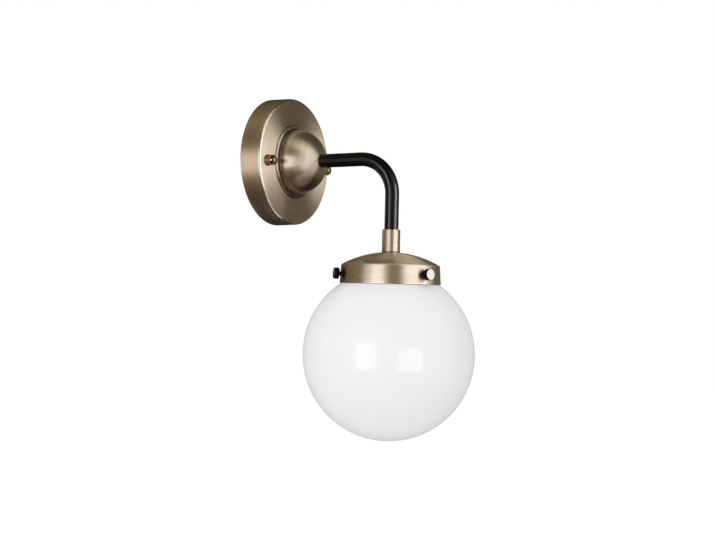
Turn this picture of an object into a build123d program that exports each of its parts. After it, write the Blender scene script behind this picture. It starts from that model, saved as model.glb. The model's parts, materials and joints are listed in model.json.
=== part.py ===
from build123d import *
import math
import os

# A wall lamp: a round brass wall plate with a domed boss, a bent black arm, and a brass gallery
# that carries an opal glass globe on three thumb screws.
# Millimetres. The wall is the plane y = 0, the lamp stands out towards -Y, +Z is up, and the origin
# is the middle of the plate's back. Lengths named OUT are measured from the wall, and lengths named
# DROP are measured down from the arm's axis.

# Fits shared by every piece
THREAD_GAP = 0.05      # radial room in a thread or a running fit
SLIP_GAP = 0.2         # room round a piece that is only slipped in
GLASS_GAP = 0.3        # room between glass and metal

# Wall plate: a spun pan with an open back
PLATE_BACK_R = 58.0
PLATE_FRONT_R = 57.5
PLATE_DEPTH = 20.4
PLATE_SHEET = 1.2
PLATE_EDGE_ROUND = 2.0

# Domed boss on the plate
DOME_FOOT_R = 32.9
DOME_FOOT_THICK = 1.6
DOME_R = 29.6
DOME_RISE = 27.4
DOME_SHEET = 1.2

# Studs and ball nuts that hold the plate
FIXING_SPREAD = 91.8
FIXING_DROP = 3.2
STUD_R = 2.0
STUD_PROUD = 7.6
STUD_POINT = 0.7
STUD_HEAD_R = 3.5
STUD_HEAD_THICK = 2.2
STUD_HEAD_ROUND = 0.7
STUD_HOLE_GAP = 0.4
STUD_NUT_FLATS = 7.0
STUD_NUT_THICK = 3.2
BALL_R = 4.6
BALL_UP = 5.5
NUT_BODY_INSET = 0.2
NUT_WASHER_R = 5.0
NUT_WASHER_THICK = 2.6
NUT_WASHER_ROUND = 0.65
NUT_SPIGOT_R = 2.75
NUT_SPIGOT_LENGTH = 1.6
NUT_BORE_PAST_STUD = 0.8

# Bracket on the wall: a channel with a tab for the terminal block
BRACKET_LENGTH = 104.0
BRACKET_WIDTH = 26.0
BRACKET_OUT = 5.5
BRACKET_SHEET = 1.5
BRACKET_CORNER = 5.0
TAB_WIDTH = 24.0
TAB_TOP = 42.0
WALL_SLOT_SPACING = 54.0
WALL_SLOT_LENGTH = 11.0
WALL_SLOT_WIDTH = 5.0
CABLE_HOLE_R = 8.0

# Screw heads with a driver slot
DRIVER_SLOT_WIDTH = 0.8
DRIVER_SLOT_DEPTH = 0.9
HEAD_ROUND = 0.3

# Earth terminal on the bracket
EARTH_X = -15.0
EARTH_SCREW_R = 2.0
EARTH_HEAD_R = 3.6
EARTH_HEAD_THICK = 2.4
EARTH_SCREW_PAST = 2.4
EARTH_WASHER_R = 4.4
EARTH_WASHER_THICK = 1.0

# Terminal block
BLOCK_FOOT_UP = 22.0
BLOCK_LENGTH = 16.0
BLOCK_WIDTH = 18.0
BLOCK_HEIGHT = 11.0
BLOCK_ROUND = 1.0
POLE_PITCH = 8.0
SLEEVE_R = 2.0
SLEEVE_BORE_R = 1.3
SLEEVE_LENGTH = 12.0
SLEEVE_SCREW_PITCH = 6.0
CLAMP_SCREW_R = 1.2
CLAMP_HEAD_R = 1.6
CLAMP_HEAD_THICK = 1.8
CLAMP_NECK = 2.4
BLOCK_SCREW_R = 1.4
BLOCK_HEAD_R = 2.5
BLOCK_HEAD_THICK = 2.0
BLOCK_HEAD_SUNK = 3.0
BLOCK_SCREW_PAST = 2.5

# Arm and the threaded tubes at its ends
ARM_R = 6.15
ARM_WALL = 1.15
ARM_REACH = 122.1
ARM_BEND_R = 32.0
NIPPLE_BORE_R = 3.6
NIPPLE_GRIP = 9.0
NIPPLE_PAST_NUT = 0.7
THIN_NUT_FLATS = 14.0
ARM_NUT_THICK = 3.0
LOCK_WASHER_R = 9.0
LOCK_WASHER_THICK = 1.0
LOCK_WASHER_TEETH = 12
LOCK_WASHER_NOTCH = 1.5
BUSH_FLANGE_THICK = 1.0
BUSH_SPIGOT_LENGTH = 3.0
BUSH_WALL = 0.9

# Wires
WIRE_R = 1.1
WIRE_SPLAY = 1.25
CORE_R = 0.5
CORE_LENGTH = 6.5
WIRE_TURN_R = 4.5
WIRE_FAN_R = 6.0
WIRE_TAIL_R = 4.0
WIRE_BELOW_BLOCK = 5.25   # straight length under the block, before the wires close up
WIRE_CLOSE_UP = 7.9       # height over which they close up
WIRE_INSIDE_TUBE = 0.9    # height above the lower threaded tube's end where they part again
WIRE_ABOVE_POST = 1.8     # straight length above each post

# Collar at the arm's lower end
COLLAR_TOP_DROP = 63.0
COLLAR_LENGTH = 20.0
COLLAR_R = 7.9
COLLAR_GRIP = 10.0
COLLAR_EDGE_ROUND = 0.4

# Gallery: a shallow domed top and a slightly flared skirt
GALLERY_DOME_R = 86.4
GALLERY_SHOULDER_R = 43.1
GALLERY_RIM_R = 44.2
GALLERY_DEPTH = 27.4
GALLERY_SHEET = 1.0
GALLERY_SHOULDER_ROUND = 1.0
GALLERY_SEAT_MARGIN = 0.3
GALLERY_NUT_THICK = 3.5

# Thumb screws round the skirt, and the bushes that they run in
SCREW_ANGLES = {"front": -19.0, "left": -139.0, "right": 101.0}
SCREW_ABOVE_RIM = 7.9
SCREW_R = 2.0
SCREW_HEAD_R = 4.95
SCREW_HEAD_THICK = 4.6
SCREW_HEAD_GAP = 2.1
SCREW_HEAD_CHAMFER = 0.5
KNURLS = 30
KNURL_DEPTH = 0.35
SCREW_BUSH_R = 2.9
SCREW_BUSH_FLANGE_R = 3.6
SCREW_BUSH_FLANGE_THICK = 2.0
TIP_R = 1.5
TIP_LENGTH = 2.6
TIP_ROUND = 0.5
TIP_STEM_R = 0.8
TIP_STEM_LENGTH = 2.3

# Globe
GLOBE_R = 75.0
GLOBE_WALL = 3.0
NECK_R = 37.2
LIP_R = 39.3
LIP_THICK = 3.5
LIP_ROUND = 1.2

# Lampholder
HOLDER_R = 13.4
HOLDER_WALL = 1.3
HOLDER_EDGE_ROUND = 0.4
HOLDER_COLLAR_R = 7.5
HOLDER_COLLAR_LENGTH = 6.0
HOLDER_CAP_LENGTH = 21.0
HOLDER_BODY_LENGTH = 30.0
INSERT_THICK = 8.0
INSERT_IN_BODY = 3.5
SHELL_R = 7.6
SHELL_SHEET = 0.5
SHELL_LENGTH = 18.0
POST_SPREAD = 11.2
POST_R = 2.3
POST_LENGTH = 4.5
POST_STEM_R = 1.2
CONTACT_SHEET = 0.5
CONTACT_WIDTH = 4.0
CONTACT_DOME_R = 1.6
CONTACT_DOME_LENGTH = 2.5
CONTACT_SCREW_R = 1.0
CONTACT_SCREW_HEAD_R = 1.6
CONTACT_SCREW_LENGTH = 3.2

# Bulb
BULB_PIP_R = 2.0
BULB_PIP_LENGTH = 1.8
BULB_PIP_ROUND = 1.0
BULB_INSULATOR_LENGTH = 3.2
BULB_CAP_R = 6.75
BULB_CAP_SHEET = 0.4
BULB_CAP_LENGTH = 16.0
BULB_NECK_IN_CAP = 3.0
BULB_R = 22.5
BULB_GLASS = 0.7
BULB_SHOULDER_ANGLE = 50.0
BULB_LENGTH = 72.0
BULB_UNDER_HOLDER = 4.5
BULB_NECK_CLEAR = 0.5

# Places worked out from those sizes
ON_WALL = Rot(90, 0, 0)
ON_DROP = Pos(0, -ARM_REACH, 0)
plate_inside = PLATE_DEPTH - PLATE_SHEET
bracket_back = BRACKET_OUT - BRACKET_SHEET
fixing_places = {"left": -FIXING_SPREAD / 2, "right": FIXING_SPREAD / 2}
nipple_r = ARM_R - ARM_WALL - THREAD_GAP
nipple_hole_r = nipple_r + SLIP_GAP
dome_seat_r = ARM_R + SLIP_GAP
arm_root = PLATE_DEPTH + DOME_FOOT_THICK + DOME_RISE * math.sqrt(1 - (dome_seat_r / DOME_R) ** 2)
arm_washer_out = plate_inside - LOCK_WASHER_THICK
arm_nut_out = arm_washer_out - ARM_NUT_THICK
nipple_out = arm_nut_out - NIPPLE_PAST_NUT
wire_out = nipple_out - BUSH_FLANGE_THICK / 2 - WIRE_TURN_R
block_front = BRACKET_OUT + BLOCK_HEIGHT
block_middle_up = BLOCK_FOOT_UP + BLOCK_LENGTH / 2
block_seat_out = block_front - BLOCK_HEAD_SUNK
pole_places = (-POLE_PITCH / 2, POLE_PITCH / 2)
clamp_ups = (block_middle_up - SLEEVE_SCREW_PITCH / 2, block_middle_up + SLEEVE_SCREW_PITCH / 2)
sleeve_foot_up = block_middle_up - SLEEVE_LENGTH / 2
arm_foot = -(COLLAR_TOP_DROP + COLLAR_GRIP)
gallery_top = -(COLLAR_TOP_DROP + COLLAR_LENGTH)
gallery_seat_r = COLLAR_R + GALLERY_SEAT_MARGIN
gallery_rim = gallery_top - GALLERY_DEPTH
gallery_centre = gallery_top - math.sqrt(GALLERY_DOME_R ** 2 - gallery_seat_r ** 2)
gallery_shoulder = gallery_centre + math.sqrt(GALLERY_DOME_R ** 2 - GALLERY_SHOULDER_R ** 2)
gallery_inner_r = GALLERY_DOME_R - GALLERY_SHEET
washer_seat_r = LOCK_WASHER_R + SLIP_GAP
gallery_washer_top = gallery_centre + math.sqrt(gallery_inner_r ** 2 - washer_seat_r ** 2)
skirt_flare = (GALLERY_RIM_R - GALLERY_SHOULDER_R) / (gallery_shoulder - gallery_rim)
skirt_angle = math.degrees(math.atan(skirt_flare))
screw_place_r = GALLERY_RIM_R - skirt_flare * SCREW_ABOVE_RIM
screw_place_z = gallery_rim + SCREW_ABOVE_RIM
along_screw = 1 / math.cos(math.radians(skirt_angle))
tip_end = -(screw_place_r - NECK_R - GLASS_GAP) * along_screw
screw_end = tip_end + TIP_LENGTH
lip_under = screw_place_z - skirt_flare * (screw_place_r - LIP_R) + TIP_R * along_screw + GLASS_GAP
globe_top_r = GALLERY_RIM_R - GALLERY_SHEET
globe_centre = gallery_rim - GLASS_GAP - math.sqrt(GLOBE_R ** 2 - globe_top_r ** 2)
gallery_nut_top = gallery_washer_top - LOCK_WASHER_THICK
holder_top = gallery_nut_top - GALLERY_NUT_THICK
lamp_nipple_foot = holder_top - HOLDER_COLLAR_LENGTH
holder_joint = holder_top - HOLDER_CAP_LENGTH
holder_foot = holder_joint - HOLDER_BODY_LENGTH
insert_foot = holder_joint - INSERT_IN_BODY
insert_top = insert_foot + INSERT_THICK
post_top = insert_top + POST_LENGTH
post_places = (-POST_SPREAD / 2, POST_SPREAD / 2)
contact_face = insert_foot - CONTACT_SHEET
bulb_top = contact_face - CONTACT_DOME_LENGTH
bulb_insulator_top = bulb_top - BULB_PIP_LENGTH
bulb_cap_top = bulb_insulator_top - BULB_INSULATOR_LENGTH
bulb_cap_foot = bulb_cap_top - BULB_CAP_LENGTH
bulb_ball_top = holder_foot - BULB_UNDER_HOLDER
bulb_foot = bulb_top - BULB_LENGTH
bulb_neck_foot = holder_foot - BULB_NECK_CLEAR
bulb_centre = bulb_foot + BULB_R
bulb_shoulder_r = bulb_ball_top - bulb_centre


def turned(*corners):
    """A solid turned about Z from (radius, height) corners. A third number rounds that corner."""
    points = [corner[:2] for corner in corners]
    rounds = [corner[2] if len(corner) > 2 else 0 for corner in corners]
    outline = FilletPolyline(*points, radius=rounds, close=True)
    return revolve(Plane.XZ * make_face(outline), Axis.Z)


def turned_outline(*edges):
    """A solid turned about Z from lines and arcs that close an outline in (radius, height)."""
    return revolve(Plane.XZ * make_face(edges), Axis.Z)


def ring(outer_r, inner_r, low, high):
    """A plain ring or sleeve about Z."""
    return Pos(0, 0, low) * extrude(Circle(outer_r) - Circle(inner_r), high - low)


def rod(radius, low, high):
    """A plain round rod about Z."""
    return Pos(0, 0, low) * extrude(Circle(radius), high - low)


def hex_nut(flats, thickness, bore_r):
    """A hexagon nut about Z with its six corners turned off a little at both ends."""
    corner_r = flats / math.sqrt(3)
    slope = corner_r - flats / 2
    blank = extrude(RegularPolygon(corner_r, 6) - Circle(bore_r), thickness)
    skin = turned(
        (0, 0), (flats / 2, 0), (corner_r, slope / 2),
        (corner_r, thickness - slope / 2), (flats / 2, thickness), (0, thickness),
    )
    return blank & skin


def slotted_head(radius, low, high):
    """A screw head about Z with a driver slot in its upper face."""
    head = turned((0, low), (radius, low), (radius, high, HEAD_ROUND), (0, high))
    slot = Box(3 * radius, DRIVER_SLOT_WIDTH, 2 * DRIVER_SLOT_DEPTH)
    return head - Pos(0, 0, high) * slot


def wall_bracket():
    """Pressed channel. Its two edges stand on the wall, so screw ends and heads have room behind."""
    web = RectangleRounded(BRACKET_LENGTH, BRACKET_WIDTH, BRACKET_CORNER)
    tab_height = TAB_TOP - BRACKET_WIDTH / 2 + BRACKET_CORNER
    tab = Pos(0, TAB_TOP - tab_height / 2) * RectangleRounded(TAB_WIDTH, tab_height, BRACKET_CORNER / 2)
    slot = SlotOverall(WALL_SLOT_LENGTH, WALL_SLOT_WIDTH)
    holes = Circle(CABLE_HOLE_R)
    holes += [Pos(side * WALL_SLOT_SPACING / 2, 0) * slot for side in (-1, 1)]
    holes += [Pos(x, -FIXING_DROP) * Circle(STUD_R + THREAD_GAP) for x in fixing_places.values()]
    holes += Pos(EARTH_X, 0) * Circle(EARTH_SCREW_R + THREAD_GAP)
    holes += Pos(0, block_middle_up) * Circle(BLOCK_SCREW_R + THREAD_GAP)
    plate = Pos(0, 0, bracket_back) * extrude(web + tab - holes, BRACKET_SHEET)
    edge_length = BRACKET_LENGTH - 2 * BRACKET_CORNER
    edge_middle = BRACKET_WIDTH / 2 - BRACKET_SHEET / 2
    low_edge = Pos(0, -edge_middle, BRACKET_OUT / 2) * Box(edge_length, BRACKET_SHEET, BRACKET_OUT)
    side_length = (edge_length - TAB_WIDTH) / 2
    side_middle = (TAB_WIDTH + side_length) / 2
    side_edge = Box(side_length, BRACKET_SHEET, BRACKET_OUT)
    top_edges = [Pos(side * side_middle, edge_middle, BRACKET_OUT / 2) * side_edge for side in (-1, 1)]
    return ON_WALL * (plate + low_edge + top_edges)


def plate_studs():
    """Two screws whose heads sit behind the bracket and whose ends stand out of the wall plate."""
    tip = PLATE_DEPTH + STUD_PROUD
    head_back = bracket_back - STUD_HEAD_THICK
    stud = turned(
        (0, head_back), (STUD_HEAD_R, head_back, STUD_HEAD_ROUND), (STUD_HEAD_R, bracket_back),
        (STUD_R, bracket_back), (STUD_R, tip - STUD_POINT), (STUD_R - STUD_POINT, tip), (0, tip),
    )
    return Compound([ON_WALL * Pos(x, -FIXING_DROP, 0) * stud for x in fixing_places.values()])


def stud_lock_nuts():
    """Two nuts that lock the studs against the bracket."""
    nut = hex_nut(STUD_NUT_FLATS, STUD_NUT_THICK, STUD_R + THREAD_GAP)
    return Compound([ON_WALL * Pos(x, -FIXING_DROP, BRACKET_OUT) * nut for x in fixing_places.values()])


def terminal_block():
    """Moulded block with two wire tunnels, four screw chimneys and one hole for its fixing screw."""
    body = Box(BLOCK_WIDTH, BLOCK_LENGTH, BLOCK_HEIGHT)
    body = fillet(body.edges().filter_by(Axis.Z) + body.faces().sort_by(Axis.Z)[-1].edges(), BLOCK_ROUND)
    body = Pos(0, block_middle_up, BRACKET_OUT + BLOCK_HEIGHT / 2) * body
    across = Rot(-90, 0, 0)
    for x in pole_places:
        tunnel = across * rod(WIRE_R + SLIP_GAP, -BLOCK_LENGTH, BLOCK_LENGTH)
        seat = across * rod(SLEEVE_R + THREAD_GAP, -SLEEVE_LENGTH / 2, SLEEVE_LENGTH / 2)
        body -= Pos(x, block_middle_up, wire_out) * (tunnel + seat)
        for up in clamp_ups:
            body -= Pos(x, up, 0) * rod(CLAMP_HEAD_R + SLIP_GAP, wire_out, block_front + BLOCK_ROUND)
    screw_hole = rod(BLOCK_SCREW_R + THREAD_GAP, 0, block_front)
    screw_hole += rod(BLOCK_HEAD_R + SLIP_GAP, block_seat_out, block_front + BLOCK_ROUND)
    body -= Pos(0, block_middle_up, 0) * screw_hole
    return ON_WALL * body


def terminal_sleeves():
    """Two brass tubes that hold the wire ends, each tapped for two clamping screws."""
    sleeves = []
    for x in pole_places:
        sleeve = Rot(-90, 0, 0) * ring(SLEEVE_R, SLEEVE_BORE_R, -SLEEVE_LENGTH / 2, SLEEVE_LENGTH / 2)
        sleeve = Pos(x, block_middle_up, wire_out) * sleeve
        for up in clamp_ups:
            sleeve -= Pos(x, up, wire_out) * rod(CLAMP_SCREW_R + THREAD_GAP, 0, 2 * SLEEVE_R)
        sleeves.append(ON_WALL * sleeve)
    return Compound(sleeves)


def terminal_screws():
    """Four clamping screws that press on the wires."""
    foot = wire_out + CORE_R
    head_foot = foot + CLAMP_NECK
    head = slotted_head(CLAMP_HEAD_R, head_foot, head_foot + CLAMP_HEAD_THICK)
    screw = rod(CLAMP_SCREW_R, foot, head_foot) + head
    return Compound([ON_WALL * Pos(x, up, 0) * screw for x in pole_places for up in clamp_ups])


def block_screw():
    """Screw that holds the terminal block on the bracket's tab."""
    shank = rod(BLOCK_SCREW_R, bracket_back - BLOCK_SCREW_PAST, block_seat_out)
    head = slotted_head(BLOCK_HEAD_R, block_seat_out, block_seat_out + BLOCK_HEAD_THICK)
    return ON_WALL * Pos(0, block_middle_up, 0) * (shank + head)


def earth_screw():
    """Slotted screw of the earth terminal."""
    seat = BRACKET_OUT + EARTH_WASHER_THICK
    shank = rod(EARTH_SCREW_R, bracket_back - EARTH_SCREW_PAST, seat)
    head = slotted_head(EARTH_HEAD_R, seat, seat + EARTH_HEAD_THICK)
    return ON_WALL * Pos(EARTH_X, 0, 0) * (shank + head)


def earth_washer():
    """Cup washer that traps the earth wire."""
    washer = ring(EARTH_WASHER_R, EARTH_SCREW_R + SLIP_GAP, BRACKET_OUT, BRACKET_OUT + EARTH_WASHER_THICK)
    return ON_WALL * Pos(EARTH_X, 0, 0) * washer


def wall_plate():
    """Spun pan: a slightly tapered wall, a rounded edge and a flat face with its holes."""
    pan = turned(
        (PLATE_BACK_R, 0), (PLATE_FRONT_R, PLATE_DEPTH, PLATE_EDGE_ROUND),
        (nipple_hole_r, PLATE_DEPTH), (nipple_hole_r, plate_inside),
        (PLATE_FRONT_R - PLATE_SHEET, plate_inside, PLATE_EDGE_ROUND - PLATE_SHEET / 2),
        (PLATE_BACK_R - PLATE_SHEET, 0),
    )
    for x in fixing_places.values():
        pan -= Pos(x, -FIXING_DROP, 0) * rod(STUD_R + STUD_HOLE_GAP, 0, 2 * PLATE_DEPTH)
    return ON_WALL * pan


def dome_cover():
    """Spun dome on a thin foot ring, with a small flat on top where the arm sits."""
    foot = PLATE_DEPTH
    spring = PLATE_DEPTH + DOME_FOOT_THICK
    inner_r = DOME_R - DOME_SHEET
    seat_angle = math.degrees(math.acos(dome_seat_r / DOME_R))
    hole_angle = math.degrees(math.acos(nipple_hole_r / inner_r))
    outer = EllipticalCenterArc((0, spring), DOME_R, DOME_RISE, arc_size=seat_angle)
    inner = EllipticalCenterArc((0, spring), inner_r, DOME_RISE - DOME_SHEET, arc_size=hole_angle)
    rounding = DOME_FOOT_THICK / 2
    edge = RadiusArc((DOME_FOOT_R, spring - rounding), (DOME_FOOT_R - rounding, spring), -rounding)
    shell = turned_outline(
        Line((DOME_FOOT_R, foot), (DOME_FOOT_R, spring - rounding)), edge,
        Line((DOME_FOOT_R - rounding, spring), (DOME_R, spring)), outer,
        Line(outer @ 1, (nipple_hole_r, arm_root)), Line((nipple_hole_r, arm_root), inner @ 1), inner,
        Line((inner_r, spring), (inner_r, foot)), Line((inner_r, foot), (DOME_FOOT_R, foot)),
    )
    return ON_WALL * shell


def nut_washer(side):
    """Collar washer that rides on the ball nut's spigot."""
    top = PLATE_DEPTH + NUT_WASHER_THICK
    washer = turned(
        (NUT_SPIGOT_R + THREAD_GAP, PLATE_DEPTH), (NUT_WASHER_R, PLATE_DEPTH),
        (NUT_WASHER_R, top, NUT_WASHER_ROUND), (NUT_SPIGOT_R + THREAD_GAP, top),
    )
    return ON_WALL * Pos(fixing_places[side], -FIXING_DROP, 0) * washer


def ball_nut(side):
    """Ball on a short round body, with a spigot in its washer and a blind tapped hole."""
    foot = PLATE_DEPTH + NUT_WASHER_THICK + THREAD_GAP
    centre = PLATE_DEPTH + BALL_UP
    body_r = BALL_R - NUT_BODY_INSET
    body_top = centre - math.sqrt(BALL_R ** 2 - body_r ** 2)
    bore_r = STUD_R + THREAD_GAP
    bore_top = PLATE_DEPTH + STUD_PROUD + NUT_BORE_PAST_STUD
    spigot_foot = foot - NUT_SPIGOT_LENGTH
    nut = turned_outline(
        Line((body_r, foot), (body_r, body_top)),
        ThreePointArc((body_r, body_top), (BALL_R, centre), (0, centre + BALL_R)),
        Polyline(
            (0, centre + BALL_R), (0, bore_top), (bore_r, bore_top), (bore_r, spigot_foot),
            (NUT_SPIGOT_R, spigot_foot), (NUT_SPIGOT_R, foot), (body_r, foot),
        ),
    )
    return ON_WALL * Pos(fixing_places[side], -FIXING_DROP, 0) * nut


def arm_path():
    """Middle line of the arm: out from the dome, round the bend and down into the collar."""
    return FilletPolyline(
        (0, -arm_root, 0), (0, -ARM_REACH, 0), (0, -ARM_REACH, arm_foot), radius=ARM_BEND_R
    )


def arm_tube():
    """Bent tube."""
    section = Plane.XZ.offset(arm_root) * (Circle(ARM_R) - Circle(ARM_R - ARM_WALL))
    return sweep(section, path=arm_path())


def arm_nipple():
    """Threaded tube from inside the arm through the dome and the plate."""
    return ON_WALL * ring(nipple_r, NIPPLE_BORE_R, nipple_out, arm_root + NIPPLE_GRIP)


def lock_washer():
    """Washer with teeth round its edge, lying on z = 0."""
    washer = Circle(LOCK_WASHER_R) - Circle(nipple_hole_r)
    notch = Rectangle(2 * LOCK_WASHER_NOTCH, LOCK_WASHER_NOTCH)
    washer -= PolarLocations(LOCK_WASHER_R, LOCK_WASHER_TEETH) * notch
    return extrude(washer, LOCK_WASHER_THICK)


def arm_washer():
    """Lock washer behind the wall plate."""
    return ON_WALL * Pos(0, 0, arm_washer_out) * lock_washer()


def arm_nut():
    """Thin nut behind the wall plate."""
    nut = hex_nut(THIN_NUT_FLATS, ARM_NUT_THICK, nipple_r + THREAD_GAP)
    return ON_WALL * Pos(0, 0, arm_nut_out) * nut


def nipple_bush():
    """Flanged bush that keeps the wires off the threaded tube's edge."""
    spigot_r = NIPPLE_BORE_R - THREAD_GAP
    bore_r = spigot_r - BUSH_WALL
    flange_back = nipple_out - BUSH_FLANGE_THICK
    spigot_end = nipple_out + BUSH_SPIGOT_LENGTH
    bush = turned(
        (bore_r, flange_back), (nipple_r, flange_back), (nipple_r, nipple_out), (spigot_r, nipple_out),
        (spigot_r, spigot_end), (bore_r, spigot_end),
    )
    return ON_WALL * bush


def lamp_wire(side):
    """Insulated wire from the terminal block through the arm to the lampholder. Side is -1 or 1."""
    start_x = side * POLE_PITCH / 2
    run_x = side * WIRE_SPLAY
    end_x = side * POST_SPREAD / 2
    start_up = sleeve_foot_up - SLIP_GAP
    fan_top = BLOCK_FOOT_UP - WIRE_BELOW_BLOCK
    path = FilletPolyline(
        (start_x, -wire_out, start_up),
        (start_x, -wire_out, fan_top),
        (run_x, -wire_out, fan_top - WIRE_CLOSE_UP),
        (run_x, -wire_out, 0),
        (run_x, -ARM_REACH, 0),
        (run_x, -ARM_REACH, lamp_nipple_foot + WIRE_INSIDE_TUBE),
        (end_x, -ARM_REACH, post_top + WIRE_ABOVE_POST),
        (end_x, -ARM_REACH, post_top),
        radius=[WIRE_FAN_R, WIRE_FAN_R, WIRE_TURN_R, ARM_BEND_R, WIRE_TAIL_R, WIRE_TAIL_R],
    )
    section = Plane(origin=path @ 0, z_dir=path % 0) * Circle(WIRE_R)
    return sweep(section, path=path)


def stripped_wire_ends():
    """Four bare copper ends: two in the terminal block and two in the lampholder's posts."""
    core_up = sleeve_foot_up - SLIP_GAP
    ends = [Pos(x, -wire_out, 0) * rod(CORE_R, core_up, core_up + CORE_LENGTH) for x in pole_places]
    core_foot = post_top - POST_LENGTH + SLIP_GAP
    ends += [ON_DROP * Pos(x, 0, 0) * rod(CORE_R, core_foot, post_top) for x in post_places]
    return Compound(ends)


def collar():
    """Sleeve that the arm's end sits in. It stands on the gallery."""
    sleeve = turned(
        (ARM_R + THREAD_GAP, -COLLAR_TOP_DROP), (COLLAR_R, -COLLAR_TOP_DROP, COLLAR_EDGE_ROUND),
        (COLLAR_R, gallery_top), (nipple_r + THREAD_GAP, gallery_top),
        (nipple_r + THREAD_GAP, arm_foot), (ARM_R + THREAD_GAP, arm_foot),
    )
    return ON_DROP * sleeve


def lamp_nipple():
    """Threaded tube from inside the arm through the collar and the gallery into the lampholder."""
    return ON_DROP * ring(nipple_r, NIPPLE_BORE_R, lamp_nipple_foot, arm_foot + NIPPLE_GRIP)


def screw_place(angle):
    """Place on the skirt's outer face at this angle from the front, with Z out along the screw."""
    on_skirt = Pos(0, -screw_place_r, screw_place_z) * Rot(90 - skirt_angle, 0, 0)
    return ON_DROP * Rot(0, 0, angle) * on_skirt


def gallery():
    """Spun cup: flat seat, shallow dome, rounded shoulder and flared skirt with three holes."""
    inner_shoulder_r = GALLERY_SHOULDER_R - GALLERY_SHEET
    inner_shoulder = gallery_centre + math.sqrt(gallery_inner_r ** 2 - inner_shoulder_r ** 2)
    outer_dome = RadiusArc(
        (gallery_seat_r, gallery_top), (GALLERY_SHOULDER_R, gallery_shoulder), GALLERY_DOME_R
    )
    inner_dome = RadiusArc(
        (washer_seat_r, gallery_washer_top), (inner_shoulder_r, inner_shoulder), gallery_inner_r
    )
    skirt = Polyline(
        (GALLERY_SHOULDER_R, gallery_shoulder), (GALLERY_RIM_R, gallery_rim),
        (GALLERY_RIM_R - GALLERY_SHEET, gallery_rim), (inner_shoulder_r, inner_shoulder),
    )
    seat = Polyline(
        (washer_seat_r, gallery_washer_top), (nipple_hole_r, gallery_washer_top),
        (nipple_hole_r, gallery_top), (gallery_seat_r, gallery_top),
    )
    outline = make_face([outer_dome, skirt, inner_dome, seat])
    corners = outline.vertices().sort_by_distance((GALLERY_SHOULDER_R, gallery_shoulder, 0))
    outline = fillet(corners[0], GALLERY_SHOULDER_ROUND)
    cup = ON_DROP * revolve(Plane.XZ * outline, Axis.Z)
    bush_hole = rod(SCREW_BUSH_R + THREAD_GAP, -2 * GALLERY_SHEET, 2 * GALLERY_SHEET)
    for angle in SCREW_ANGLES.values():
        cup -= screw_place(angle) * bush_hole
    return cup


def gallery_washer():
    """Lock washer inside the gallery."""
    return ON_DROP * Pos(0, 0, gallery_nut_top) * lock_washer()


def gallery_nut():
    """Nut that clamps the gallery against the collar."""
    nut = hex_nut(THIN_NUT_FLATS, GALLERY_NUT_THICK, nipple_r + THREAD_GAP)
    return ON_DROP * Pos(0, 0, holder_top) * nut


def screw_bushes():
    """Three tapped bushes, each with a flange inside the skirt."""
    bore_r = SCREW_R + THREAD_GAP
    flange_face = -GALLERY_SHEET - SLIP_GAP
    flange_back = flange_face - SCREW_BUSH_FLANGE_THICK
    bush = turned(
        (bore_r, -THREAD_GAP), (SCREW_BUSH_R, -THREAD_GAP), (SCREW_BUSH_R, flange_face),
        (SCREW_BUSH_FLANGE_R, flange_face), (SCREW_BUSH_FLANGE_R, flange_back), (bore_r, flange_back),
    )
    return Compound([screw_place(angle) * bush for angle in SCREW_ANGLES.values()])


def thumb_screw(name):
    """Knurled head on a threaded shank that is drilled for its soft tip."""
    head_foot = SCREW_HEAD_GAP
    head_top = SCREW_HEAD_GAP + SCREW_HEAD_THICK
    knurl_step = math.pi / KNURLS
    outline = []
    for step in range(2 * KNURLS):
        radius = SCREW_HEAD_R - KNURL_DEPTH * (step % 2)
        outline.append((radius * math.cos(step * knurl_step), radius * math.sin(step * knurl_step)))
    knurled = Pos(0, 0, head_foot) * extrude(make_face(Polyline(*outline, close=True)), SCREW_HEAD_THICK)
    skin = turned(
        (0, head_foot), (SCREW_HEAD_R - SCREW_HEAD_CHAMFER, head_foot),
        (SCREW_HEAD_R, head_foot + SCREW_HEAD_CHAMFER), (SCREW_HEAD_R, head_top - SCREW_HEAD_CHAMFER),
        (SCREW_HEAD_R - SCREW_HEAD_CHAMFER, head_top), (0, head_top),
    )
    stem_room = TIP_STEM_LENGTH + SLIP_GAP
    shank = ring(SCREW_R, TIP_STEM_R + THREAD_GAP, screw_end, screw_end + stem_room)
    shank += rod(SCREW_R, screw_end + stem_room, head_foot)
    return screw_place(SCREW_ANGLES[name]) * (shank + (knurled & skin))


def screw_tip(name):
    """Soft tip that swivels on the screw's end and carries the globe's lip."""
    face = screw_end - THREAD_GAP
    tip = turned(
        (0, tip_end), (TIP_R, tip_end, TIP_ROUND), (TIP_R, face), (TIP_STEM_R, face),
        (TIP_STEM_R, face + TIP_STEM_LENGTH), (0, face + TIP_STEM_LENGTH),
    )
    return screw_place(SCREW_ANGLES[name]) * tip


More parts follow.
